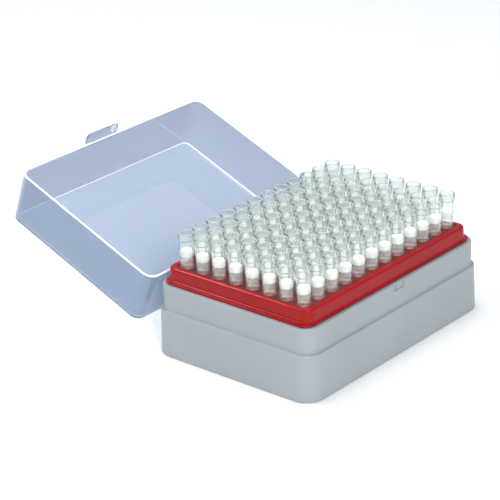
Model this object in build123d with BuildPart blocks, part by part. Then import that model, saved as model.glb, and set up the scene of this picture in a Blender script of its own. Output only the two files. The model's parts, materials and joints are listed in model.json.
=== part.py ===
from build123d import *
from math import atan, cos, degrees, radians, sin
import os

os.makedirs("parts", exist_ok=True)

# A hinged box that holds filter tips for a pipette in a lift-out rack.
# Origin: centre of the base's underside. +Z up, X along the long side,
# -Y is the front, where the latch is; the hinge runs along X at the back.
# All sizes are millimetres. A "half" value is measured from the box's centre.

# The grid of tips
columns = 12
rows = 8
pitch = 9.0

# Tips: a head that stands on its shoulder, and a tapered stem below it
tip_head_height = 15.8
tip_shoulder_width = 0.30
head_draft = 0.20
head_wall = 0.40
collar_reach = 0.44
collar_wall = 0.69
tip_collar_height = 3.2
collar_slope = 0.4
collar_edge = 0.25
socket_chamfer = 0.2
stem_length = 33.0
stem_radius = 2.50
stem_middle_radius = 1.45
stem_end_radius = 0.60
stem_wall = 0.55
orifice_radius = 0.28

# Filters: a porous plug on a seat inside each tip
filter_clearance = 0.02
filter_seat = 0.15
filter_bottom = 5.2
filter_height = 3.0
filter_edge = 0.2

# Rack: a raised tray that hangs in the base by its flange
rack_height = 6.5
rack_wall = 1.6
rack_draft = 0.3
rack_corner = 4.0
plate_thickness = 1.8
hole_clearance = 0.10
border_gap = 1.0
border_width_x = 2.0
border_width_y = 2.9
border_height = 0.6
border_round = 1.1
flange_reach_x = 1.9
flange_reach_y = 1.0
flange_thickness = 1.2
skirt_depth = 6.0
skirt_gap = 0.5
rib_thickness = 1.2
rib_depth = 5.0
rib_columns = 4
rib_rows = 2

# Base: a tub whose lower part stands out as a ledge under the upper part
rim_margin = 1.7
base_corner = 7.2
base_wall = 2.4
floor_thickness = 2.0
stem_clearance = 3.5
upper_height = 11.1
ledge_step = 1.3
ledge_round = 0.5
lower_wall = 2.0
lower_flare = 0.55
rim_round = 0.4

# Lid: a clear tray, hinged at the rim and thrown open past the back
lid_clearance = 2.5
lid_wall = 1.1
lid_roof = 1.2
lid_draft = 1.0
lid_corner = 5.4
lid_overlap_gap = 0.05
roof_round = 2.0
open_angle = 157.3

# Hinge: two pins on the base between pairs of ears, gripped by clips on the lid
hinge_spacing = 76.0
hinge_offset = 1.5
pin_radius = 1.0
pin_clearance = 0.06
clip_wall = 0.95
clip_length = 7.0
clip_mouth = 1.5
clip_web_height = 4.0
ear_thickness = 2.0
ear_wall = 0.9
ear_foot = 4.5
hinge_gap = 0.25
relief_gap = 0.3
stop_width = 1.1
stop_drop = 0.5
stop_gap = 0.02

# Latch: a tongue on the lid with an eye that snaps over a nub in the base's catch
tongue_centre = -6.45
tongue_width = 20.1
tongue_length = 4.3
tongue_thickness = 1.0
tongue_root = 1.8
tongue_round = 2.0
tongue_gap = 0.25
eye_centre = 0.8
eye_drop = 2.0
eye_radius = 0.9
eye_wall = 1.1
eye_height = 0.5
nub_clearance = 0.2
nub_reach = 0.2
catch_centre = 1.5
catch_width = 9.0
catch_height = 3.5
catch_depth = 0.7

# Sizes that follow from the ones above
tip_shoulder_radius = stem_radius + tip_shoulder_width
tip_head_top_radius = tip_shoulder_radius + head_draft
tip_collar_radius = tip_head_top_radius + collar_reach
socket_radius = tip_collar_radius - collar_wall
filter_radius = tip_shoulder_radius - head_wall
field_half_x = (columns - 1) * pitch / 2 + tip_shoulder_radius + border_gap
field_half_y = (rows - 1) * pitch / 2 + tip_shoulder_radius + border_gap
field_corner = tip_shoulder_radius + border_gap
block_half_x = field_half_x + border_width_x
block_half_y = field_half_y + border_width_y
flange_half_x = block_half_x + rack_draft + flange_reach_x
flange_half_y = block_half_y + rack_draft + flange_reach_y
base_half_x = flange_half_x + rim_margin
base_half_y = flange_half_y + rim_margin
opening_half_x = base_half_x - base_wall
opening_half_y = base_half_y - base_wall
lower_half_x = base_half_x + ledge_step
lower_half_y = base_half_y + ledge_step
lower_corner = base_corner + ledge_step
base_height = floor_thickness + stem_clearance + stem_length - rack_height
ledge_height = base_height - upper_height
plate_top = base_height + rack_height
hinge_y = base_half_y + hinge_offset
hinge_z = base_height
clip_radius = pin_radius + pin_clearance + clip_wall
ear_radius = pin_radius + ear_wall
ear_span = clip_length + 2 * hinge_gap
relief_y = hinge_y - clip_radius - relief_gap
lid_half_x = base_half_x - lid_overlap_gap
lid_half_y = base_half_y - lid_overlap_gap
lid_height = rack_height + tip_head_height + lid_clearance + lid_roof
hinge_stations = (-hinge_spacing / 2, hinge_spacing / 2)

# The lid's own frame, at its open stop: origin on the hinge, Z from rim to roof, -Y to the latch
lid_frame = Plane(
    origin=(0, hinge_y, hinge_z),
    x_dir=(1, 0, 0),
    z_dir=(0, sin(radians(open_angle)), cos(radians(open_angle))),
)
lid_side = Plane(origin=lid_frame.origin, x_dir=lid_frame.y_dir, z_dir=(1, 0, 0))
lid_front = lid_frame.rotated((90, 0, 0)).offset(hinge_y + base_half_y + tongue_gap)
lid_up = Axis(lid_frame.origin, lid_frame.z_dir)


def rounded_slab(plane, half_x, half_y, corner, height, inset=0.0, centre_y=0.0, mode=Mode.ADD):
    """A block with rounded corners that narrows by inset on each side over its height."""
    with BuildSketch(plane) as outline:
        with Locations((0, centre_y)):
            RectangleRounded(2 * half_x, 2 * half_y, corner)
    slope = degrees(atan(inset / height))
    extrude(outline.sketch, amount=height, taper=slope, mode=mode)


# Base shell
with BuildPart() as base_shell:
    rounded_slab(
        Plane.XY,
        lower_half_x + lower_flare,
        lower_half_y + lower_flare,
        lower_corner + lower_flare,
        ledge_height,
        inset=lower_flare,
    )
    fillet(base_shell.faces().sort_by(Axis.Z)[-1].edges(), ledge_round)
    rounded_slab(
        Plane.XY.offset(ledge_height), base_half_x, base_half_y, base_corner, upper_height
    )
    fillet(base_shell.faces().sort_by(Axis.Z)[-1].edges(), rim_round)
    # The tub is wide below the ledge and narrower behind the upper wall
    rounded_slab(
        Plane.XY.offset(floor_thickness),
        lower_half_x - lower_wall,
        lower_half_y - lower_wall,
        lower_corner - lower_wall,
        ledge_height - lower_wall - floor_thickness,
        mode=Mode.SUBTRACT,
    )
    rounded_slab(
        Plane.XY.offset(floor_thickness),
        opening_half_x,
        opening_half_y,
        base_corner - base_wall,
        base_height - floor_thickness,
        mode=Mode.SUBTRACT,
    )
    # At each hinge station: a relief in the back wall, two ears, and the pin between them
    for station in hinge_stations:
        with BuildSketch(Plane.XY.offset(hinge_z)):
            with Locations((station, relief_y)):
                Rectangle(ear_span, hinge_offset + clip_radius, align=(Align.CENTER, Align.MIN))
        extrude(amount=-(clip_radius + 2 * relief_gap), mode=Mode.SUBTRACT)
        for end in (-1, 1):
            with BuildSketch(Plane.YZ.offset(station + end * (ear_span + ear_thickness) / 2)):
                with Locations((hinge_y, hinge_z)):
                    Circle(ear_radius)
                with BuildLine():
                    Polyline(
                        (hinge_y, hinge_z),
                        (hinge_y, hinge_z - ear_radius),
                        (base_half_y - base_wall / 2, hinge_z - ear_foot),
                        (base_half_y - base_wall / 2, hinge_z),
                        close=True,
                    )
                make_face()
            extrude(amount=ear_thickness / 2, both=True)
        with BuildSketch(Plane.YZ.offset(station)):
            with Locations((hinge_y, hinge_z)):
                Circle(pin_radius)
        extrude(amount=(ear_span + ear_thickness) / 2, both=True)
    # The catch: a shallow pocket in the front wall, open at the rim, with a round nub in it
    with BuildSketch(Plane.XZ.offset(base_half_y)):
        with Locations((catch_centre, base_height)):
            Rectangle(catch_width, catch_height, align=(Align.CENTER, Align.MAX))
    extrude(amount=-catch_depth, mode=Mode.SUBTRACT)
    with BuildSketch(Plane.XZ.offset(base_half_y - catch_depth)):
        with Locations((eye_centre, base_height - eye_drop)):
            Circle(eye_radius - nub_clearance)
    extrude(amount=catch_depth + tongue_gap + nub_reach)
base_shell.part.label = "base_shell"
export_step(base_shell.part, "parts/base_shell.step")


# Rack plate: a field of round holes inside a raised border, on walls that hang in the base
with BuildPart() as rack_plate:
    rounded_slab(
        Plane.XY.offset(base_height),
        block_half_x + rack_draft,
        block_half_y + rack_draft,
        rack_corner + rack_draft,
        rack_height + border_height,
        inset=rack_draft,
    )
    fillet(rack_plate.faces().sort_by(Axis.Z)[-1].edges(), border_round)
    rounded_slab(
        Plane.XY.offset(base_height),
        flange_half_x,
        flange_half_y,
        rack_corner + flange_reach_y,
        flange_thickness,
    )
    rounded_slab(
        Plane.XY.offset(base_height - skirt_depth),
        opening_half_x - skirt_gap,
        opening_half_y - skirt_gap,
        base_corner - base_wall - skirt_gap,
        skirt_depth,
    )
    # The hollow under the plate, and the field recessed below the border
    rounded_slab(
        Plane.XY.offset(base_height - skirt_depth),
        block_half_x - rack_wall,
        block_half_y - rack_wall,
        rack_corner - rack_wall,
        skirt_depth + rack_height - plate_thickness,
        mode=Mode.SUBTRACT,
    )
    rounded_slab(
        Plane.XY.offset(plate_top),
        field_half_x,
        field_half_y,
        field_corner,
        border_height,
        mode=Mode.SUBTRACT,
    )
    # Ribs under the plate run between the tips
    with BuildSketch(Plane.XY.offset(plate_top - plate_thickness)):
        with GridLocations(rib_columns * pitch, 0, 3, 1):
            Rectangle(rib_thickness, 2 * block_half_y - rack_wall)
        with GridLocations(0, rib_rows * pitch, 1, 3):
            Rectangle(2 * block_half_x - rack_wall, rib_thickness)
    extrude(amount=-rib_depth)
    with BuildSketch(Plane.XY.offset(plate_top)):
        with GridLocations(pitch, pitch, columns, rows):
            Circle(stem_radius + hole_clearance)
    extrude(amount=-plate_thickness, mode=Mode.SUBTRACT)
rack_plate.part.label = "rack_plate"
export_step(rack_plate.part, "parts/rack_plate.step")


# One tip with its shoulder at z = 0: up the outside from the stem's end, then down the bore
collar_foot = tip_head_height - tip_collar_height
stem_middle = -stem_length / 2
with BuildPart() as tip:
    with BuildSketch(Plane.XZ):
        with BuildLine():
            Polyline(
                (orifice_radius, -stem_length),
                (stem_end_radius, -stem_length),
                (stem_middle_radius, stem_middle),
                (stem_radius, 0),
                (tip_shoulder_radius, 0),
                (tip_head_top_radius, collar_foot - collar_slope),
                (tip_collar_radius, collar_foot),
                (tip_collar_radius, tip_head_height - collar_edge),
                (tip_collar_radius - collar_edge, tip_head_height),
                (socket_radius + socket_chamfer, tip_head_height),
                (socket_radius, tip_head_height - socket_chamfer),
                (socket_radius, collar_foot),
                (filter_radius, collar_foot - collar_slope),
                (filter_radius, filter_bottom),
                (filter_radius - filter_seat, filter_bottom),
                (stem_radius - stem_wall, 0),
                (stem_middle_radius - stem_wall, stem_middle),
                close=True,
            )
        make_face()
    revolve(axis=Axis.Z)

# One filter, standing on the seat inside its tip
with BuildPart() as plug:
    with BuildSketch(Plane.XY.offset(filter_bottom)):
        Circle(filter_radius - filter_clearance)
    extrude(amount=filter_height)
    chamfer(plug.edges().filter_by(GeomType.CIRCLE), filter_edge)

# The tips and filters, one column at a time: a multichannel pipette picks up a column
for column in range(columns):
    column_x = (column - (columns - 1) / 2) * pitch
    spots = [Pos(column_x, (row - (rows - 1) / 2) * pitch, plate_top) for row in range(rows)]
    number = f"{column + 1:02d}"
    with BuildPart() as tips:
        with Locations(spots):
            add(tip.part)
    tips.part.label = f"tips_col_{number}"
    export_step(tips.part, f"parts/tips_col_{number}.step")
    with BuildPart() as filters:
        with Locations(spots):
            add(plug.part)
    filters.part.label = f"filters_col_{number}"
    export_step(filters.part, f"parts/filters_col_{number}.step")


# Lid shell, drawn in the lid's own frame
with BuildPart() as lid_shell:
    rounded_slab(
        lid_frame,
        lid_half_x,
        lid_half_y,
        lid_corner,
        lid_height,
        inset=lid_draft,
        centre_y=-hinge_y,
    )
    fillet(lid_shell.faces().sort_by(lid_up)[-1].edges(), roof_round)
    rounded_slab(
        lid_frame,
        lid_half_x - lid_wall,
        lid_half_y - lid_wall,
        lid_corner - lid_wall,
        lid_height - lid_roof,
        inset=lid_draft,
        centre_y=-hinge_y,
        mode=Mode.SUBTRACT,
    )
    # At each hinge station: slots in the back wall that pass the ears, and a clip for the pin
    for station in hinge_stations:
        with BuildSketch(lid_frame):
            with Locations((station, 0)):
                with GridLocations(ear_span + ear_thickness, 0, 2, 1):
                    Rectangle(
                        ear_thickness + 2 * hinge_gap,
                        2 * (hinge_offset + lid_overlap_gap + lid_wall),
                    )
        extrude(amount=ear_radius, mode=Mode.SUBTRACT)
        with BuildSketch(lid_side.offset(station)):
            Circle(clip_radius)
            with BuildLine():
                Polyline(
                    (0, 0),
                    (0, clip_radius),
                    (-hinge_offset - lid_wall / 2, clip_web_height),
                    (-hinge_offset - lid_wall / 2, 0),
                    close=True,
                )
            make_face()
        extrude(amount=clip_length / 2, both=True)
        # The heel under the clip that meets the base's back wall at the open stop
        with BuildSketch(Plane.YZ.offset(station)):
            with Locations((relief_y + stop_gap, hinge_z - stop_drop)):
                Rectangle(clip_radius, stop_width, align=(Align.MIN, Align.MAX))
        extrude(amount=clip_length / 2, both=True)
        with BuildSketch(lid_side.offset(station)):
            Circle(pin_radius + pin_clearance)
            Rectangle(clip_mouth, 2 * clip_radius, align=(Align.CENTER, Align.MAX))
        extrude(amount=clip_length / 2, both=True, mode=Mode.SUBTRACT)
    # The tongue hangs past the rim, outside the base's front wall, from a root on the lid's wall
    with BuildSketch(lid_front) as tongue:
        with Locations((tongue_centre, tongue_root)):
            Rectangle(tongue_width, tongue_root + tongue_length, align=(Align.CENTER, Align.MAX))
        fillet(tongue.vertices(), tongue_round)
    extrude(amount=tongue_thickness)
    with BuildSketch(lid_front):
        with Locations((tongue_centre, 0)):
            Rectangle(tongue_width - 2 * tongue_round, tongue_root, align=(Align.CENTER, Align.MIN))
    extrude(amount=-(tongue_gap + lid_overlap_gap + lid_wall / 2))
    with BuildSketch(lid_front):
        with Locations((eye_centre, -eye_drop)):
            Circle(eye_radius + eye_wall)
    extrude(amount=tongue_thickness + eye_height)
    with BuildSketch(lid_front):
        with Locations((eye_centre, -eye_drop)):
            Circle(eye_radius)
    extrude(amount=tongue_thickness + eye_height, mode=Mode.SUBTRACT)
lid_shell.part.label = "lid_shell"
export_step(lid_shell.part, "parts/lid_shell.step")
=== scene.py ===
import json
import math
import bmesh
import bpy
from mathutils import Matrix, Vector


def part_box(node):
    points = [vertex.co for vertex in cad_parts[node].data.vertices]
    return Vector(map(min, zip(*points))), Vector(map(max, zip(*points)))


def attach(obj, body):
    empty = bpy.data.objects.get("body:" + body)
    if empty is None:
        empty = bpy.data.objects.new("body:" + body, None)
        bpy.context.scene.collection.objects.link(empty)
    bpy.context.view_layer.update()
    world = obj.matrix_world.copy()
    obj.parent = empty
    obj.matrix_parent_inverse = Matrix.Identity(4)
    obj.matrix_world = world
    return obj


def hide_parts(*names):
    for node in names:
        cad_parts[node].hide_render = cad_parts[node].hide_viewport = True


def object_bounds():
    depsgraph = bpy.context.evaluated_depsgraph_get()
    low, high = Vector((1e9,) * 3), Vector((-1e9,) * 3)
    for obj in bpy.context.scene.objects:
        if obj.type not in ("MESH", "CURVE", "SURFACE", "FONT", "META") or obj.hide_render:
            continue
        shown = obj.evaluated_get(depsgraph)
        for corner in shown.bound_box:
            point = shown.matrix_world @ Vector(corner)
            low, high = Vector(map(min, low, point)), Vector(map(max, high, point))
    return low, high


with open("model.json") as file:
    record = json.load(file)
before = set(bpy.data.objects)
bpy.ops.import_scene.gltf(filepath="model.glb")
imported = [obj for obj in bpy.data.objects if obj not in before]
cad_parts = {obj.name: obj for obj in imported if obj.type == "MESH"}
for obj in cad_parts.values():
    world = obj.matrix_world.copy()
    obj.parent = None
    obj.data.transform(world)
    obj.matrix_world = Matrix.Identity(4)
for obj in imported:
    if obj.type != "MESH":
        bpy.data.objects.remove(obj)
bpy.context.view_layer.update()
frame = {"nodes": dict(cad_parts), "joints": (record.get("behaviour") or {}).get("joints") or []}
scene = bpy.context.scene
mm = 0.001
print("frame loaded:", len(frame["nodes"]), "nodes")


# Mesh tools: everything is drawn in millimetres and turned to metres as it becomes a mesh


def meshPiece(name, points, faces, place=None, sharpAngle=32, finishes=None):
    mesh = bpy.data.meshes.new(name)
    mesh.from_pydata([Vector(p) for p in points], [], faces)
    if finishes is not None:
        mesh.polygons.foreach_set("material_index", finishes)
    if place is not None:
        mesh.transform(place)
    mesh.transform(Matrix.Scale(mm, 4))
    tidyMesh(mesh, sharpAngle)
    piece = bpy.data.objects.new(name, mesh)
    scene.collection.objects.link(piece)
    return piece


def tidyMesh(mesh, sharpAngle):
    work = bmesh.new()
    work.from_mesh(mesh)
    bmesh.ops.remove_doubles(work, verts=work.verts, dist=1e-7)
    bmesh.ops.recalc_face_normals(work, faces=work.faces)
    work.to_mesh(mesh)
    work.free()
    mesh.shade_smooth()
    mesh.set_sharp_from_angle(angle=math.radians(sharpAngle))


def ringPoints(ring, steps):
    halfX, halfY, corner, z = ring
    points = []
    for turn, signX, signY in ((0, 1, 1), (90, -1, 1), (180, -1, -1), (270, 1, -1)):
        for i in range(steps + 1):
            a = math.radians(turn + 90 * i / steps)
            points.append((
                signX * (halfX - corner) + corner * math.cos(a),
                signY * (halfY - corner) + corner * math.sin(a),
                z,
            ))
    return points


def skin(name, rings, steps=9, place=None, shift=(0, 0, 0), edgeLevels=(), lastCap=0):
    # a closed skin through rounded rectangles, capped at the first ring and the last
    points, faces, finishes = [], [], []
    around = 4 * (steps + 1)
    for ring in rings:
        points += [Vector(p) + Vector(shift) for p in ringPoints(ring, steps)]
    for level in range(len(rings) - 1):
        for i in range(around):
            j = (i + 1) % around
            low, high = level * around, (level + 1) * around
            faces.append((low + i, low + j, high + j, high + i))
            finishes.append(int(level in edgeLevels))
    faces.append(tuple(range(around)))
    faces.append(tuple(range(len(points) - around, len(points))))
    return meshPiece(name, points, faces, place, finishes=finishes + [0, lastCap])


def roundOff(base, out, up, radius, fromAngle, toAngle, steps=4):
    # rings along an arc: out is measured from the base outline, up from z = 0
    halfX, halfY, corner = base
    rings = []
    for i in range(steps + 1):
        a = math.radians(fromAngle + (toAngle - fromAngle) * i / steps)
        d = out + radius * math.cos(a)
        rings.append((halfX + d, halfY + d, corner + d, up + radius * math.sin(a)))
    return rings


def lathe(name, profile, centres, segments, closed=True, lit=()):
    # turns (radius, height) points about each centre; an open profile starts and ends on the axis
    points, faces, glow = [], [], []
    count = len(profile)
    for centre in centres:
        first = len(points)
        for i in range(segments):
            a = 2 * math.pi * i / segments
            points += [
                (centre[0] + r * math.cos(a), centre[1] + r * math.sin(a), centre[2] + z)
                for r, z in profile
            ]
        for i in range(segments):
            here, there = first + i * count, first + (i + 1) % segments * count
            for k in range(count if closed else count - 1):
                n = (k + 1) % count
                faces.append((here + k, there + k, there + n, here + n))
                glow.append(float(k in lit and n in lit))
    piece = meshPiece(name, points, faces)
    # faces between two marked points get the painted highlight of a lit edge
    if lit:
        piece.data.attributes.new("paintedEdgeLight", "FLOAT", "FACE").data.foreach_set("value", glow)
    return piece


def roundedProfile(corners, steps=3):
    # a closed outline of (x, y, rounding) corners, each turned into a small arc
    # a fourth value marks a corner whose edge gets a painted highlight for the light it gathers
    outline, lit = [], []
    for i, (x, y, rounding, *mark) in enumerate(corners):
        first = len(outline)
        here = Vector((x, y))
        before = Vector(corners[i - 1][:2]) - here
        after = Vector(corners[(i + 1) % len(corners)][:2]) - here
        half = before.angle(after) / 2
        reach = min(rounding / math.tan(half), 0.45 * before.length, 0.45 * after.length)
        start, end = here + before.normalized() * reach, here + after.normalized() * reach
        for k in range(steps + 1 if rounding else 1):
            t = k / steps
            outline.append(tuple((1 - t) ** 2 * start + 2 * t * (1 - t) * here + t * t * end))
        if mark:
            lit += range(first, len(outline))
    return outline, lit


def prism(name, outline, depth, place, bevel=0.0, finish=0):
    # an outline in its own XY, raised from z = 0 to depth, with softened edges
    count = len(outline)
    points = [(x, y, 0) for x, y in outline] + [(x, y, depth) for x, y in outline]
    faces = [tuple(range(count)), tuple(range(count, 2 * count))]
    faces += [(i, (i + 1) % count, count + (i + 1) % count, count + i) for i in range(count)]
    piece = meshPiece(name, points, faces, place, finishes=[finish] * len(faces))
    if bevel:
        soften = piece.modifiers.new("soften", "BEVEL")
        soften.width = bevel * mm
        soften.segments = 2
        soften.angle_limit = math.radians(40)
        settle(piece)
    return piece


def settle(piece):
    # keeps the piece as its modifiers show it
    graph = bpy.context.evaluated_depsgraph_get()
    mesh = bpy.data.meshes.new_from_object(piece.evaluated_get(graph))
    piece.modifiers.clear()
    piece.data = mesh


def combine(piece, tools, operation, sharpAngle=32):
    for tool in tools:
        cut = piece.modifiers.new("combine", "BOOLEAN")
        cut.object = tool
        cut.operation = operation
        cut.solver = "EXACT"
    settle(piece)
    for tool in tools:
        bpy.data.objects.remove(tool)
    tidyMesh(piece.data, sharpAngle)


def evenShade(piece):
    # flat faces keep flat shading up to their rounded edges
    weigh = piece.modifiers.new("weigh normals", "WEIGHTED_NORMAL")
    weigh.keep_sharp = True


def finishPiece(piece, body, slot, materials, *nodes):
    for material in materials:
        piece.data.materials.append(material)
    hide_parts(*nodes)
    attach(piece, body)


def linear(hexColour):
    channels = [int(hexColour[i:i + 2], 16) / 255 for i in (1, 3, 5)]
    return [c / 12.92 if c <= 0.04045 else ((c + 0.055) / 1.055) ** 2.4 for c in channels] + [1]


def addNode(tree, kind, settings=None, links=None):
    node = tree.nodes.new(kind)
    for key, value in (settings or {}).items():
        if isinstance(key, int) or key in node.inputs:
            node.inputs[key].default_value = value
        else:
            setattr(node, key, value)
    for key, source in (links or {}).items():
        tree.links.new(source, node.inputs[key])
    return node


def newMaterial(name):
    material = bpy.data.materials.new(name)
    material.use_nodes = True
    material.node_tree.nodes.clear()
    return material, material.node_tree


def perMetre(size):
    return 1 / (size * mm)  # a texture's scale for a feature of this size in millimetres


# Materials


def mouldedGreyPolypropylene():
    # polypropylene off a spark-eroded mould: satin, with a fine grain and faint flow shading
    look = {
        "pale": "#949BA0", "deep": "#8B9297", "satin": 0.30, "dull": 0.38,
        "grain": 0.5, "grainDepth": 0.02, "flow": 26,
    }
    material, tree = newMaterial("mouldedGreyPolypropylene")
    place = addNode(tree, "ShaderNodeTexCoord").outputs["Object"]
    flow = addNode(
        tree, "ShaderNodeTexNoise",
        {"Scale": perMetre(look["flow"]), "Detail": 3, "Roughness": 0.5}, {"Vector": place},
    )
    tone = addNode(
        tree, "ShaderNodeMix",
        {"data_type": "RGBA", 6: linear(look["pale"]), 7: linear(look["deep"])},
        {"Factor": flow.outputs["Fac"]},
    )
    sheen = addNode(
        tree, "ShaderNodeMapRange",
        {"From Min": 0.3, "From Max": 0.7, "To Min": look["satin"], "To Max": look["dull"]},
        {"Value": flow.outputs["Fac"]},
    )
    grain = addNode(
        tree, "ShaderNodeTexNoise",
        {"Scale": perMetre(look["grain"]), "Detail": 2, "Roughness": 0.6}, {"Vector": place},
    )
    bump = addNode(
        tree, "ShaderNodeBump",
        {"Strength": 0.35, "Distance": look["grainDepth"] * mm}, {"Height": grain.outputs["Fac"]},
    )
    shader = addNode(
        tree, "ShaderNodeBsdfPrincipled", {"IOR": 1.49, "Specular IOR Level": 0.5},
        {"Base Color": tone.outputs[2], "Roughness": sheen.outputs["Result"],
         "Normal": bump.outputs["Normal"]},
    )
    addNode(tree, "ShaderNodeOutputMaterial", links={"Surface": shader.outputs["BSDF"]})
    return material


def dyedRedStyrene(name, look):
    # dyed polystyrene: deep red, a little uneven where the melt flowed, wavy like its mould
    material, tree = newMaterial(name)
    place = addNode(tree, "ShaderNodeTexCoord").outputs["Object"]
    flow = addNode(
        tree, "ShaderNodeTexNoise",
        {"Scale": perMetre(look["flow"]), "Detail": 3, "Roughness": 0.55}, {"Vector": place},
    )
    tone = addNode(
        tree, "ShaderNodeMix",
        {"data_type": "RGBA", 6: linear(look["pale"]), 7: linear(look["deep"])},
        {"Factor": flow.outputs["Fac"]},
    )
    gloss = addNode(
        tree, "ShaderNodeMapRange",
        {"From Min": 0.3, "From Max": 0.7, "To Min": look["gloss"], "To Max": look["satin"]},
        {"Value": flow.outputs["Fac"]},
    )
    wave = addNode(
        tree, "ShaderNodeTexNoise",
        {"Scale": perMetre(look["wave"]), "Detail": 1, "Roughness": 0.4}, {"Vector": place},
    )
    bump = addNode(
        tree, "ShaderNodeBump",
        {"Strength": 0.25, "Distance": look["waveDepth"] * mm}, {"Height": wave.outputs["Fac"]},
    )
    shader = addNode(
        tree, "ShaderNodeBsdfPrincipled",
        {"IOR": 1.59, "Specular IOR Level": look["shine"], "Coat Weight": look["wet"],
         "Coat Roughness": 0.04},
        {"Base Color": tone.outputs[2], "Roughness": gloss.outputs["Result"],
         "Normal": bump.outputs["Normal"]},
    )
    addNode(tree, "ShaderNodeOutputMaterial", links={"Surface": shader.outputs["BSDF"]})
    return material


redPolish = {  # off polished steel, so it shines as if wet
    "pale": "#9A0913", "deep": "#84060E", "gloss": 0.12, "satin": 0.2, "shine": 0.1, "wet": 0.2,
    "wave": 9, "waveDepth": 0.05, "flow": 18,
}
redShadedFieldLook = {  # painted shade: the plate among the tips is a browner, darker red for the shade there, and hardly shines
    "pale": "#63241C", "deep": "#521A14", "gloss": 0.45, "satin": 0.55, "shine": 0.2, "wet": 0.0,
    "wave": 0.6, "waveDepth": 0.02, "flow": 18,
}


def clarifiedLidPolypropylene(name, look):
    # clarified polypropylene, thin as sheet: bluish, a little cloudy, with faint ripples from the mould
    material, tree = newMaterial(name)
    place = addNode(tree, "ShaderNodeTexCoord").outputs["Object"]
    haze = addNode(
        tree, "ShaderNodeTexNoise",
        {"Scale": perMetre(look["haze"]), "Detail": 4, "Roughness": 0.6}, {"Vector": place},
    )
    frost = addNode(
        tree, "ShaderNodeMapRange",
        {"From Min": 0.3, "From Max": 0.7, "To Min": look["gloss"], "To Max": look["frost"]},
        {"Value": haze.outputs["Fac"]},
    )
    tone = addNode(
        tree, "ShaderNodeMix",
        {"data_type": "RGBA", 6: linear(look["tint"]), 7: linear(look["cloud"])},
        {"Factor": haze.outputs["Fac"]},
    )
    ripple = addNode(
        tree, "ShaderNodeTexNoise",
        {"Scale": perMetre(look["ripple"]), "Detail": 1, "Roughness": 0.4}, {"Vector": place},
    )
    bump = addNode(
        tree, "ShaderNodeBump",
        {"Strength": 0.3, "Distance": look["rippleDepth"] * mm}, {"Height": ripple.outputs["Fac"]},
    )
    shader = addNode(
        tree, "ShaderNodeBsdfPrincipled",
        {"IOR": 1.49, "Specular IOR Level": 0.3, "Transmission Weight": look["clear"]},
        {"Base Color": tone.outputs[2], "Roughness": frost.outputs["Result"],
         "Normal": bump.outputs["Normal"]},
    )
    addNode(tree, "ShaderNodeOutputMaterial", links={"Surface": shader.outputs["BSDF"]})
    return material


lidSheet = {
    "tint": "#A6B2C6", "cloud": "#B0BBCA", "clear": 0.8, "gloss": 0.02, "frost": 0.05,
    "haze": 6, "ripple": 14, "rippleDepth": 0.05,
}
lidEdgeHighlight = {  # painted highlight: the rounded edges are made whiter and less clear for the light that runs inside the sheet and leaves there
    "tint": "#F6FAFF", "cloud": "#FFFFFF", "clear": 0.2, "gloss": 0.15, "frost": 0.25,
    "haze": 6, "ripple": 14, "rippleDepth": 0.02,
}


def clearTipPolypropylene():
    # natural polypropylene, thin-walled and polished: clear, darker at the sides of the tube where
    # light runs along inside the wall, and a painted highlight: moulded edges made whiter and less clear
    # for the light they gather
    look = {
        "tint": "#F3F7F5", "edge": "#FFFFFF", "clear": 0.93, "edgeClear": 0.7,
        "depthTint": "#7A9DAA", "depthTintPerMetre": 200, "ripple": 3.0, "rippleDepth": 0.02,
    }
    material, tree = newMaterial("clearTipPolypropylene")
    place = addNode(tree, "ShaderNodeTexCoord").outputs["Object"]
    ripple = addNode(
        tree, "ShaderNodeTexNoise",
        {"Scale": perMetre(look["ripple"]), "Detail": 1, "Roughness": 0.4}, {"Vector": place},
    )
    bump = addNode(
        tree, "ShaderNodeBump",
        {"Strength": 0.2, "Distance": look["rippleDepth"] * mm}, {"Height": ripple.outputs["Fac"]},
    )
    # painted highlight: the marked edge faces are whiter and less clear
    light = addNode(
        tree, "ShaderNodeAttribute", {"attribute_name": "paintedEdgeLight"}
    ).outputs["Fac"]
    tone = addNode(
        tree, "ShaderNodeMix",
        {"data_type": "RGBA", 6: linear(look["tint"]), 7: linear(look["edge"])},
        {"Factor": light},
    )
    clear = addNode(
        tree, "ShaderNodeMapRange", {"To Min": look["clear"], "To Max": look["edgeClear"]},
        {"Value": light},
    )
    shader = addNode(
        tree, "ShaderNodeBsdfPrincipled", {"IOR": 1.49, "Roughness": 0.04},
        {"Base Color": tone.outputs[2], "Transmission Weight": clear.outputs["Result"],
         "Normal": bump.outputs["Normal"]},
    )
    wall = addNode(
        tree, "ShaderNodeVolumeAbsorption",
        {"Color": linear(look["depthTint"]), "Density": look["depthTintPerMetre"]},
    )
    addNode(
        tree, "ShaderNodeOutputMaterial",
        links={"Surface": shader.outputs["BSDF"], "Volume": wall.outputs["Volume"]},
    )
    return material


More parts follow.
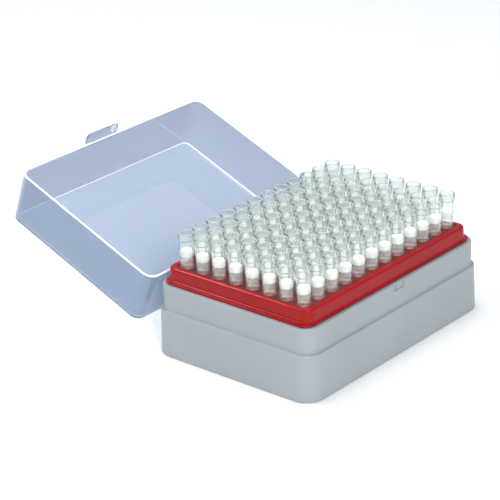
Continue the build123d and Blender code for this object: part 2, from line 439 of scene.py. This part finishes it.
def sinteredFilterPolyethylene():
    # sintered polyethylene beads: chalk white and matt, with open pores between the beads
    # and faint darker rings, painted reflections of the tip's collar
    look = {
        "bead": "#EAEAE6", "pore": "#CBCCC6", "size": 0.35, "depth": 0.08,
        "ring": "#B4B5AE", "ringSpacing": 1.0, "ringShare": 0.5,
    }
    material, tree = newMaterial("sinteredFilterPolyethylene")
    place = addNode(tree, "ShaderNodeTexCoord").outputs["Object"]
    beads = addNode(
        tree, "ShaderNodeTexVoronoi", {"Scale": perMetre(look["size"])}, {"Vector": place}
    )
    tone = addNode(
        tree, "ShaderNodeMix",
        {"data_type": "RGBA", 6: linear(look["bead"]), 7: linear(look["pore"])},
        {"Factor": beads.outputs["Distance"]},
    )
    # painted reflection: faint darker bands around the filter
    rings = addNode(
        tree, "ShaderNodeTexWave",
        {"bands_direction": "Z", "Scale": perMetre(look["ringSpacing"]) * 2 * math.pi / 20,
         "Distortion": 0.4},
        {"Vector": place},
    )
    share = addNode(
        tree, "ShaderNodeMapRange",
        {"From Min": 0.7, "From Max": 1.0, "To Max": look["ringShare"]},
        {"Value": rings.outputs["Fac"]},
    )
    ringed = addNode(
        tree, "ShaderNodeMix", {"data_type": "RGBA", 7: linear(look["ring"])},
        {"Factor": share.outputs["Result"], 6: tone.outputs[2]},
    )
    bump = addNode(
        tree, "ShaderNodeBump",
        {"Strength": 0.5, "Distance": look["depth"] * mm, "invert": True},
        {"Height": beads.outputs["Distance"]},
    )
    shader = addNode(
        tree, "ShaderNodeBsdfPrincipled", {"IOR": 1.5, "Roughness": 0.9, "Specular IOR Level": 0.2},
        {"Base Color": ringed.outputs[2], "Normal": bump.outputs["Normal"]},
    )
    addNode(tree, "ShaderNodeOutputMaterial", links={"Surface": shader.outputs["BSDF"]})
    return material


def paleCard():
    # a smooth card sweep: near white and matt, with hardly any grain to see
    look = {"pale": "#ECEEF0", "deep": "#E8EAED", "grain": 30}
    material, tree = newMaterial("paleCard")
    place = addNode(tree, "ShaderNodeTexCoord").outputs["Object"]
    grain = addNode(
        tree, "ShaderNodeTexNoise", {"Scale": perMetre(look["grain"]), "Detail": 2},
        {"Vector": place},
    )
    tone = addNode(
        tree, "ShaderNodeMix",
        {"data_type": "RGBA", 6: linear(look["pale"]), 7: linear(look["deep"])},
        {"Factor": grain.outputs["Fac"]},
    )
    shader = addNode(
        tree, "ShaderNodeBsdfPrincipled", {"Roughness": 0.85, "Specular IOR Level": 0.2},
        {"Base Color": tone.outputs[2]},
    )
    addNode(tree, "ShaderNodeOutputMaterial", links={"Surface": shader.outputs["BSDF"]})
    return material


greyPlastic = mouldedGreyPolypropylene()
redPlastic = dyedRedStyrene("polishedRedStyrene", redPolish)
redFieldPaintedShade = dyedRedStyrene("shadedFieldRedStyrene", redShadedFieldLook)
lidPlastic = clarifiedLidPolypropylene("clarifiedLidPolypropylene", lidSheet)
lidEdge = clarifiedLidPolypropylene("clarifiedLidEdge", lidEdgeHighlight)
tipPlastic = clearTipPolypropylene()
filterPlastic = sinteredFilterPolyethylene()
print("materials made")


# What every piece takes from the frame, in millimetres

lidJoint = next(j for j in frame["joints"] if j["name"] == "lid_hinge")
hinge = Vector(lidJoint["pos_m"]) / mm
openTurn = Matrix.Rotation(math.radians(lidJoint["range_deg"][0]), 4, "X")
lidPlace = Matrix.Translation(hinge) @ openTurn  # from the lid's own frame to where it lies open
rimHeight = hinge.z
baseLow, baseHigh = (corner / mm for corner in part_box("base_shell"))
rackLow, rackHigh = (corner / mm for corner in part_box("rack_plate"))
hingeStations = (-38, 38)
cutPast = 1  # how far a cutting tool reaches past what it cuts

base = {
    "corner": 7.2, "flare": 0.55, "ledgeStep": 1.3, "upperHeight": 11.1,
    "lowerWall": 2.0, "upperWall": 2.4, "floor": 2.0,
    "footRound": 0.7, "ledgeRound": 0.6, "ledgeCove": 0.35, "rimRound": 0.45, "floorRound": 1.6,
    "rimInnerRound": 0.3, "stepRound": 0.4, "reliefDepth": 2.61, "reliefBack": 2.31, "reliefOut": 3,
    "reliefWidth": 7.5,
    "earRadius": 1.9, "earThickness": 2.0, "earFoot": 4.5, "pinRadius": 1.0,
    "catchCentre": 1.5, "catchWidth": 9.0, "catchHeight": 3.5, "catchDepth": 0.7,
    "catchCorner": 0.9, "catchLip": 0.4, "catchBackRound": 0.2,
    "nubCentre": 0.8, "nubRadius": 0.7, "nubDrop": 2.0, "nubReach": 0.45, "nubRoot": 0.2,
    "earDrop": 0.05, "softEdge": 0.2,
}
upperHalfX = baseHigh.x - base["flare"] - base["ledgeStep"]
upperHalfY = -baseLow.y - base["flare"] - base["ledgeStep"]
upperOutline = (upperHalfX, upperHalfY, base["corner"])


def acrossX(x):
    return Matrix(((0, 0, 1, x), (1, 0, 0, 0), (0, 1, 0, 0), (0, 0, 0, 1)))  # outline in YZ, depth +X


def towardsFront(y):
    return Matrix(((1, 0, 0, 0), (0, 0, -1, y), (0, 1, 0, 0), (0, 0, 0, 1)))  # outline in XZ, depth -Y


def circle(centreX, centreY, radius, count=24, fromAngle=0, toAngle=360):
    whole = toAngle - fromAngle == 360
    steps = count if whole else count + 1
    return [
        (
            centreX + radius * math.cos(math.radians(fromAngle + (toAngle - fromAngle) * i / count)),
            centreY + radius * math.sin(math.radians(fromAngle + (toAngle - fromAngle) * i / count)),
        )
        for i in range(steps)
    ]


def box2d(left, low, right, high):
    return [(left, low), (right, low), (right, high), (left, high)]


def makeBase():
    b = base
    ledge = rimHeight - b["upperHeight"]
    lowerOut = b["ledgeStep"]
    footOut = lowerOut + b["flare"]
    innerUp, innerLow = -b["upperWall"], lowerOut - b["lowerWall"]
    o = upperOutline
    rings = roundOff(o, footOut - b["footRound"], b["footRound"], b["footRound"], -90, 0)
    rings += roundOff(o, lowerOut - b["ledgeRound"], ledge - b["ledgeRound"], b["ledgeRound"], 0, 90)
    rings += roundOff(o, b["ledgeCove"], ledge + b["ledgeCove"], b["ledgeCove"], 270, 180, 3)
    rings += roundOff(o, -b["rimRound"], rimHeight - b["rimRound"], b["rimRound"], 0, 90)
    rimInner, stepRound = b["rimInnerRound"], b["stepRound"]
    rings += roundOff(o, innerUp + rimInner, rimHeight - rimInner, rimInner, 90, 180, 3)
    stepHeight = ledge - b["lowerWall"]
    rings += roundOff(o, innerUp + stepRound, stepHeight + stepRound, stepRound, 180, 270, 3)
    rings += roundOff(o, innerLow - stepRound, stepHeight - stepRound, stepRound, 90, 0, 3)
    rings += roundOff(
        o, innerLow - b["floorRound"], b["floor"] + b["floorRound"], b["floorRound"], 0, -90
    )
    shell = skin("baseShell", rings)
    depth, lip = b["catchDepth"], b["catchLip"]
    mouth = (b["catchWidth"] / 2 - lip, b["catchHeight"] - lip, b["catchCorner"] - lip)
    backRound = b["catchBackRound"]
    pocket = roundOff(mouth, -backRound, backRound, backRound, -90, 0, 3)
    pocket += roundOff(mouth, lip, depth - lip, lip, 180, 90, 5)
    pocket += [(*(size + lip for size in mouth), depth + 2 * cutPast)]
    cuts = [skin(
        "catch", pocket, place=towardsFront(-upperHalfY + depth),
        shift=(b["catchCentre"], rimHeight, 0),
    )]
    for station in hingeStations:
        cuts.append(prism("relief", box2d(
            hinge.y - b["reliefBack"], rimHeight - b["reliefDepth"],
            hinge.y + b["reliefOut"], rimHeight + cutPast,
        ), b["reliefWidth"], acrossX(station - b["reliefWidth"] / 2)))
    combine(shell, cuts, "DIFFERENCE")
    added = [
        prism("nub", circle(b["nubCentre"], rimHeight - b["nubDrop"], b["nubRadius"]),
              b["catchDepth"] + b["nubReach"] + b["nubRoot"],
              towardsFront(-upperHalfY + b["catchDepth"] + b["nubRoot"]), bevel=b["softEdge"])
    ]
    root = upperHalfY - b["upperWall"] / 2
    for station in hingeStations:
        for side in (-1, 1):
            middle = station + side * (b["reliefWidth"] + b["earThickness"]) / 2
            outline = [(root, rimHeight - b["earFoot"])]
            outline += circle(hinge.y, hinge.z, b["earRadius"], 16, -90, 150)
            outline += [(root, rimHeight - b["earDrop"])]
            added.append(prism(
                "ear", outline, b["earThickness"], acrossX(middle - b["earThickness"] / 2),
                bevel=b["softEdge"],
            ))
        span = b["reliefWidth"] + b["earThickness"]
        added.append(prism(
            "pin", circle(hinge.y, hinge.z, b["pinRadius"]), span, acrossX(station - span / 2)
        ))
    combine(shell, added, "UNION")
    evenShade(shell)
    finishPiece(shell, "base", "grey_plastic", [greyPlastic], "base_shell")
    return shell


makeBase()
print("base made")

columns, rows, pitch = 12, 8, 9.0
rack = {
    "corner": 4.0, "draft": 0.3, "flangeX": 1.9, "flangeY": 1.0, "flangeThickness": 1.2,
    "flangeLowRound": 0.12, "flangeTopRound": 0.25, "seatLift": 0.001,
    "undercutX": 0.3, "undercutY": 0.9, "undercutHeight": 0.6, "wallFillet": 0.6,
    "borderX": 2.0, "borderY": 2.9, "borderHeight": 0.6, "borderRound": 1.1, "borderInner": 0.3,
    "fieldCorner": 3.8, "fieldCove": 0.15, "plate": 1.8, "plateCove": 0.4,
    "wall": 1.6, "skirtX": 1.2, "skirtY": 1.2, "skirtCorner": 4.3,
    "skirtFootRound": 0.3, "skirtTopRound": 0.2,
    "hole": 2.6, "holeEdge": 0.25, "holeEase": 0.1, "holeAbove": 0.15, "holeSides": 28,
    "ribThickness": 1.2, "ribDepth": 5.0, "ribRoot": 0.5,
}
flangeHalfX, flangeHalfY = rackHigh.x, rackHigh.y
borderTop = rackHigh.z
plateTop = borderTop - rack["borderHeight"]
skirtFoot = rackLow.z


def makeRack():
    r = rack
    topX = flangeHalfX - r["flangeX"] - r["draft"]
    topY = flangeHalfY - r["flangeY"] - r["draft"]
    top = (topX, topY, r["corner"])
    foot = (topX + r["draft"], topY + r["draft"], r["corner"] + r["draft"])
    flange = (flangeHalfX, flangeHalfY, r["corner"] + r["flangeY"])
    skirt = (flangeHalfX - r["skirtX"], flangeHalfY - r["skirtY"], r["skirtCorner"])
    field = (topX - r["borderX"], topY - r["borderY"], r["fieldCorner"])
    under = plateTop - r["plate"]
    cove, lowRound, highRound = r["plateCove"], r["skirtFootRound"], r["skirtTopRound"]
    rings = roundOff(top, -r["wall"] - cove, under - cove, cove, 90, 0, 3)
    rings += roundOff(top, -r["wall"] + lowRound, skirtFoot + lowRound, lowRound, 180, 270, 3)
    rings += roundOff(skirt, -lowRound, skirtFoot + lowRound, lowRound, -90, 0, 3)
    rings += roundOff(skirt, highRound, rimHeight - highRound + r["seatLift"], highRound, 180, 90, 2)
    neck = rimHeight + r["undercutHeight"]
    for z in (rimHeight + r["seatLift"], neck):
        rings.append((flangeHalfX - r["undercutX"], flangeHalfY - r["undercutY"], r["corner"], z))
    lowRound, highRound = r["flangeLowRound"], r["flangeTopRound"]
    rings += roundOff(flange, -lowRound, neck + lowRound, lowRound, -90, 0, 2)
    flangeTop = rimHeight + r["flangeThickness"]
    rings += roundOff(flange, -highRound, flangeTop - highRound, highRound, 0, 90, 3)
    rings += roundOff(foot, r["wallFillet"], flangeTop + r["wallFillet"], r["wallFillet"], 270, 180)
    rings += roundOff(top, -r["borderRound"], borderTop - r["borderRound"], r["borderRound"], 0, 90, 6)
    rings += roundOff(field, r["borderInner"], borderTop - r["borderInner"], r["borderInner"], 90, 180)
    cove = r["fieldCove"]
    rings += roundOff(field, -cove, plateTop + cove, cove, 0, -90, 2)
    # painted shade: the border's inner wall, the cove and the field's cap take the browner red for the
    # shade among the tips
    fieldLevels = range(len(rings) - 4, len(rings) - 1)
    plate = skin("rackPlate", rings, edgeLevels=fieldLevels, lastCap=1)
    ribs = []
    for i in (-1, 0, 1):
        across, along = 2 * topY - r["wall"], 2 * topX - r["wall"]
        x, y, t = 4 * pitch * i, 2 * pitch * i, r["ribThickness"] / 2
        low = Matrix.Translation((0, 0, under - r["ribDepth"]))
        depth = r["ribDepth"] + r["ribRoot"]
        ribs.append(prism("rib", box2d(x - t, -across / 2, x + t, across / 2), depth, low))
        ribs.append(prism("rib", box2d(-along / 2, y - t, along / 2, y + t), depth, low))
    combine(plate, ribs, "UNION")
    edge, above = r["holeEdge"], r["holeAbove"]
    bore = [
        (0, under - cutPast), (r["hole"], under - cutPast), (r["hole"], plateTop - edge),
        (r["hole"] + r["holeEase"], plateTop - edge / 3), (r["hole"] + edge + above, plateTop + above),
        (0, plateTop + above),
    ]
    centres = [
        ((i - (columns - 1) / 2) * pitch, (j - (rows - 1) / 2) * pitch, 0)
        for i in range(columns) for j in range(rows)
    ]
    combine(plate, [lathe("holes", bore, centres, r["holeSides"], closed=False)], "DIFFERENCE")
    evenShade(plate)
    finishPiece(plate, "rack", "red_plastic", [redPlastic, redFieldPaintedShade], "rack_plate")


makeRack()
print("rack made")

tip = {
    "headHeight": 15.8, "shoulder": 2.80, "headTop": 3.00, "collar": 3.44, "collarHeight": 3.2,
    "collarSlope": 0.4, "socket": 2.75, "stemLength": 33.0, "stem": 2.50, "stemMiddle": 1.45,
    "stemEnd": 0.60, "stemWall": 0.55, "orifice": 0.28, "chamber": 2.40, "filterSeat": 0.15,
    "filterBottom": 5.2, "filterHeight": 3.0, "filterSqueeze": 0.03, "segments": 28,
    "seatHeight": 0.4, "lowerChamber": 2.36, "bore": 1.6, "boreTop": 0.8, "ringHeight": 1.2,
}


def tipProfile():
    t = tip
    foot, middle = t["headHeight"] - t["collarHeight"], -t["stemLength"] / 2
    seat = t["filterBottom"] - t["seatHeight"]
    # the corners marked True get the painted edge highlight: shoulder, collar top, socket mouth
    return roundedProfile([
        (t["orifice"], -t["stemLength"], 0.08),
        (t["stemEnd"], -t["stemLength"], 0.12),
        (t["stemMiddle"], middle, 0),
        (t["stem"], 0, 0.05),
        (t["shoulder"], 0, 0.25, True),
        (t["headTop"], foot - t["collarSlope"], 0.2),
        (t["collar"], foot, 0.15),
        (t["collar"], t["headHeight"], 0.22, True),
        (t["socket"], t["headHeight"], 0.22, True),
        (t["socket"], foot, 0.1),
        (t["chamber"], foot - t["collarSlope"], 0.2),
        (t["chamber"], t["filterBottom"], 0.05),
        (t["chamber"] - t["filterSeat"], t["filterBottom"], 0.05),
        (t["chamber"] - t["filterSeat"], seat, 0.1),
        (t["lowerChamber"], seat - t["filterSeat"], 0.1),
        (t["lowerChamber"], t["ringHeight"], 0.2),
        (t["bore"], t["boreTop"], 0.15),
        (t["stemMiddle"] - t["stemWall"], middle, 0),
    ])


def filterProfile():
    radius = tip["chamber"] + tip["filterSqueeze"]  # pressed against the wall, with no air between
    low, high = tip["filterBottom"], tip["filterBottom"] + tip["filterHeight"]
    edge = 0.12
    return [
        (0, low), (radius - edge, low), (radius - edge * 0.3, low + edge * 0.3),
        (radius, low + edge), (radius, high - edge), (radius - edge * 0.3, high - edge * 0.3),
        (radius - edge, high), (radius * 0.5, high + 0.03), (0, high + 0.05),
    ]


tipOutline, tipEdges = tipProfile()
for column in range(columns):
    number = f"{column + 1:02d}"
    x = (column - (columns - 1) / 2) * pitch
    spots = [(x, (row - (rows - 1) / 2) * pitch, plateTop) for row in range(rows)]
    tips = lathe("tips_" + number, tipOutline, spots, tip["segments"], lit=tipEdges)
    tips.visible_shadow = False  # clear plastic lets the lamps through
    finishPiece(tips, "tips_" + number, "clear_tips", [tipPlastic], "tips_col_" + number)
    filters = lathe("filters_" + number, filterProfile(), spots, tip["segments"], closed=False)
    finishPiece(filters, "tips_" + number, "filter", [filterPlastic], "filters_col_" + number)
print("tips and filters made")

lid = {
    "gap": 0.05, "corner": 5.4, "height": 26.0, "wall": 1.1, "roof": 1.2, "draft": 1.0,
    "roofRound": 2.0, "roofInnerRound": 1.9, "rimRound": 0.3,
    "slotWidth": 2.5, "slotHeight": 1.9, "slotFrom": 0.7, "slotReach": 1.5,
    "clipRadius": 2.01, "clipBore": 1.06, "clipLength": 7.0,
    "clipMouth": 1.5, "mouthDrop": 3, "webHeight": 4.0, "webDrop": 0.2, "webFoot": 0.3,
    "heelWidth": 1.1, "heelDepth": 1.6, "heelDrop": 0.5, "heelGap": 0.02,
    "tongueCentre": -6.45, "tongueWidth": 20.1, "tongueLength": 4.3, "tongueThickness": 1.0,
    "tongueRoot": 1.8, "tongueRound": 2.0, "tongueGap": 0.25, "rootDrop": 0.25, "rootReach": 0.4,
    "eyeCentre": 0.8, "eyeDrop": 2.0, "eyeRadius": 0.9, "eyeWall": 1.1, "eyeHeight": 0.5,
    "softEdge": 0.25,
}


def lidRings():
    v = lid
    outline = (upperHalfX - v["gap"], upperHalfY - v["gap"], v["corner"])
    inside, inDepth = -v["wall"], v["height"] - v["roof"]
    slope = v["draft"] / v["height"]
    innerSlip, outerSlip = slope * v["roofInnerRound"], slope * v["roofRound"]
    parts = [
        roundOff(outline, inside - v["draft"] - v["roofInnerRound"] + innerSlip,
                 inDepth - v["roofInnerRound"], v["roofInnerRound"], 90, 0, 8),
        roundOff(outline, inside + v["rimRound"], v["rimRound"], v["rimRound"], 180, 270, 3),
        roundOff(outline, -v["rimRound"], v["rimRound"], v["rimRound"], -90, 0, 3),
        roundOff(outline, -v["draft"] - v["roofRound"] + outerSlip,
                 v["height"] - v["roofRound"], v["roofRound"], 0, 90, 8),
    ]
    edges = [4, *range(9, 16)]  # painted highlight on the middle of the roof's inner rounding, and on the whole rim
    return sum(parts, []), edges


def makeLid():
    v = lid
    rings, edges = lidRings()
    shell = skin(
        "lidShell", rings, steps=12, place=lidPlace, shift=(0, -hinge.y, 0), edgeLevels=edges
    )
    wallFace = hinge.y - upperHalfY + v["gap"]  # from the hinge axis to the back wall's outside
    slots = []
    for station in hingeStations:
        for side in (-1, 1):
            left = station + side * (base["reliefWidth"] + base["earThickness"]) / 2
            slots.append(prism("slot", box2d(
                left - v["slotWidth"] / 2, -cutPast, left + v["slotWidth"] / 2, v["slotHeight"],
            ), v["wall"] + v["slotReach"], lidPlace @ towardsFront(-wallFace + v["slotFrom"])))
    combine(shell, slots, "DIFFERENCE")
    added, bores = [], []
    for station in hingeStations:
        start = station - v["clipLength"] / 2
        side = lidPlace @ acrossX(start)
        webEnd = -wallFace - v["wall"] / 2
        web = [
            (0, -v["webDrop"]), (0, v["clipRadius"]), (webEnd, v["webHeight"]), (webEnd, v["webFoot"]),
        ]
        added.append(prism("clip", circle(0, 0, v["clipRadius"], 28), v["clipLength"], side))
        added.append(prism("web", web, v["clipLength"], side))
        heelBack = hinge.y - base["reliefBack"] + v["heelGap"]
        heelTop = hinge.z - v["heelDrop"]
        added.append(prism("heel", box2d(
            heelBack, heelTop - v["heelWidth"], heelBack + v["heelDepth"], heelTop,
        ), v["clipLength"], acrossX(start)))
        longer, length = lidPlace @ acrossX(start - cutPast), v["clipLength"] + 2 * cutPast
        bores.append(prism("bore", circle(0, 0, v["clipBore"]), length, longer))
        bores.append(prism("mouth", box2d(
            -v["clipMouth"] / 2, -v["mouthDrop"], v["clipMouth"] / 2, 0,
        ), length, longer))
    front = lidPlace @ towardsFront(-hinge.y - upperHalfY - v["tongueGap"])
    left, right = v["tongueCentre"] - v["tongueWidth"] / 2, v["tongueCentre"] + v["tongueWidth"] / 2
    flat = [(x, y, v["tongueRound"]) for x, y in box2d(left, -v["tongueLength"], right, v["tongueRoot"])]
    added.append(prism(
        "tongue", roundedProfile(flat, 6)[0], v["tongueThickness"], front, bevel=v["softEdge"]
    ))
    rootTop = v["tongueRoot"] - v["rootDrop"]
    rootOutline = box2d(left + v["tongueRound"], 0, right - v["tongueRound"], rootTop)
    back = lidPlace @ towardsFront(-hinge.y - upperHalfY + v["gap"] + v["wall"] / 2)
    added.append(prism(
        "root", rootOutline, v["wall"] / 2 + v["gap"] + v["tongueGap"] + v["rootReach"], back
    ))
    eyeDepth = v["tongueThickness"] + v["eyeHeight"]
    eyeSpot = (v["eyeCentre"], -v["eyeDrop"])
    # the eye ring takes the whiter edge material: a painted highlight
    added.append(prism(
        "eye", circle(*eyeSpot, v["eyeRadius"] + v["eyeWall"]), eyeDepth, front,
        bevel=v["softEdge"], finish=1,
    ))
    bores.append(prism(
        "eyeHole", circle(*eyeSpot, v["eyeRadius"]), eyeDepth + 2 * cutPast,
        lidPlace @ towardsFront(-hinge.y - upperHalfY - v["tongueGap"] + cutPast),
    ))
    combine(shell, added, "UNION")
    combine(shell, bores, "DIFFERENCE")
    evenShade(shell)
    shell.visible_shadow = False  # the sheet lets the lamps through
    finishPiece(shell, "lid", "clear_lid", [lidPlastic, lidEdge], "lid_shell")


makeLid()
print("lid made")


def makeFloor():
    half = 4000
    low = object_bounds()[0].z / mm - 0.05
    sheet = meshPiece(
        "floor", [(-half, -half, low), (half, -half, low), (half, half, low), (-half, half, low)],
        [(0, 1, 2, 3)],
    )
    sheet.data.materials.append(paleCard())


makeFloor()

studio = {
    "zenith": "#F8FAFC", "horizon": "#C4CAD2", "strength": 0.66,
    "key": {"energy": 10.0, "size": 0.15, "at": (-0.70, -0.82, 0.50), "colour": "#FFFDF9"},
    "side": {"energy": 3.0, "size": 0.2, "at": (-0.40, 0.62, 0.72), "colour": "#FFFFFF"},
    "top": {"energy": 5.0, "size": 0.6, "at": (0.10, 0.15, 1.05), "colour": "#FFFFFF"},
}


def makeLights():
    world = bpy.data.worlds.new("studio")
    world.use_nodes = True
    tree = world.node_tree
    tree.nodes.clear()
    direction = addNode(tree, "ShaderNodeTexCoord").outputs["Generated"]
    height = addNode(tree, "ShaderNodeSeparateXYZ", links={"Vector": direction}).outputs["Z"]
    climb = addNode(
        tree, "ShaderNodeMapRange", {"From Min": 0.0, "From Max": 0.7}, {"Value": height}
    ).outputs["Result"]
    sky = addNode(
        tree, "ShaderNodeMix",
        {"data_type": "RGBA", 6: linear(studio["horizon"]), 7: linear(studio["zenith"])},
        {"Factor": climb},
    )
    glow = addNode(
        tree, "ShaderNodeBackground", {"Strength": studio["strength"]},
        {"Color": sky.outputs[2]},
    )
    addNode(tree, "ShaderNodeOutputWorld", links={"Surface": glow.outputs[0]})
    scene.world = world
    for name in ("key", "side", "top"):
        s = studio[name]
        lamp = bpy.data.lights.new(name, "AREA")
        lamp.energy = s["energy"]
        lamp.size = s["size"]
        lamp.color = linear(s["colour"])[:3]
        holder = bpy.data.objects.new(name, lamp)
        holder.location = s["at"]
        aim = Vector((0, 0.03, 0.03)) - Vector(s["at"])
        holder.rotation_euler = aim.to_track_quat("-Z", "Y").to_euler()
        scene.collection.objects.link(holder)


camera = {
    "azimuth": -49.02, "elevation": 23.5, "roll": -2.04, "distance": 904.97, "lens": 152.58,
    "aim": (-20.51, 21.48),
}  # lengths in millimetres, angles in degrees


def makeCamera():
    c = camera
    azimuth, elevation, roll = (math.radians(c[k]) for k in ("azimuth", "elevation", "roll"))
    back = Vector((
        math.sin(azimuth) * math.cos(elevation),
        -math.cos(azimuth) * math.cos(elevation),
        math.sin(elevation),
    ))
    right = Vector((math.cos(azimuth), math.sin(azimuth), 0))
    up = back.cross(right)
    tiltedRight = right * math.cos(roll) + up * math.sin(roll)
    tiltedUp = up * math.cos(roll) - right * math.sin(roll)
    aim = Vector((*c["aim"], plateTop))
    lens = bpy.data.cameras.new("camera")
    lens.lens = c["lens"]
    lens.sensor_width = 36
    lens.clip_start = 0.01
    lens.clip_end = 20
    holder = bpy.data.objects.new("camera", lens)
    turn = Matrix((tiltedRight, tiltedUp, back)).transposed().to_4x4()
    holder.matrix_world = Matrix.Translation((aim + back * c["distance"]) * mm) @ turn
    scene.collection.objects.link(holder)
    scene.camera = holder


makeLights()
makeCamera()
scene.view_settings.view_transform = "Standard"
scene.cycles.max_bounces = 24
scene.cycles.transmission_bounces = 24
scene.cycles.transparent_max_bounces = 24
print("stage made")
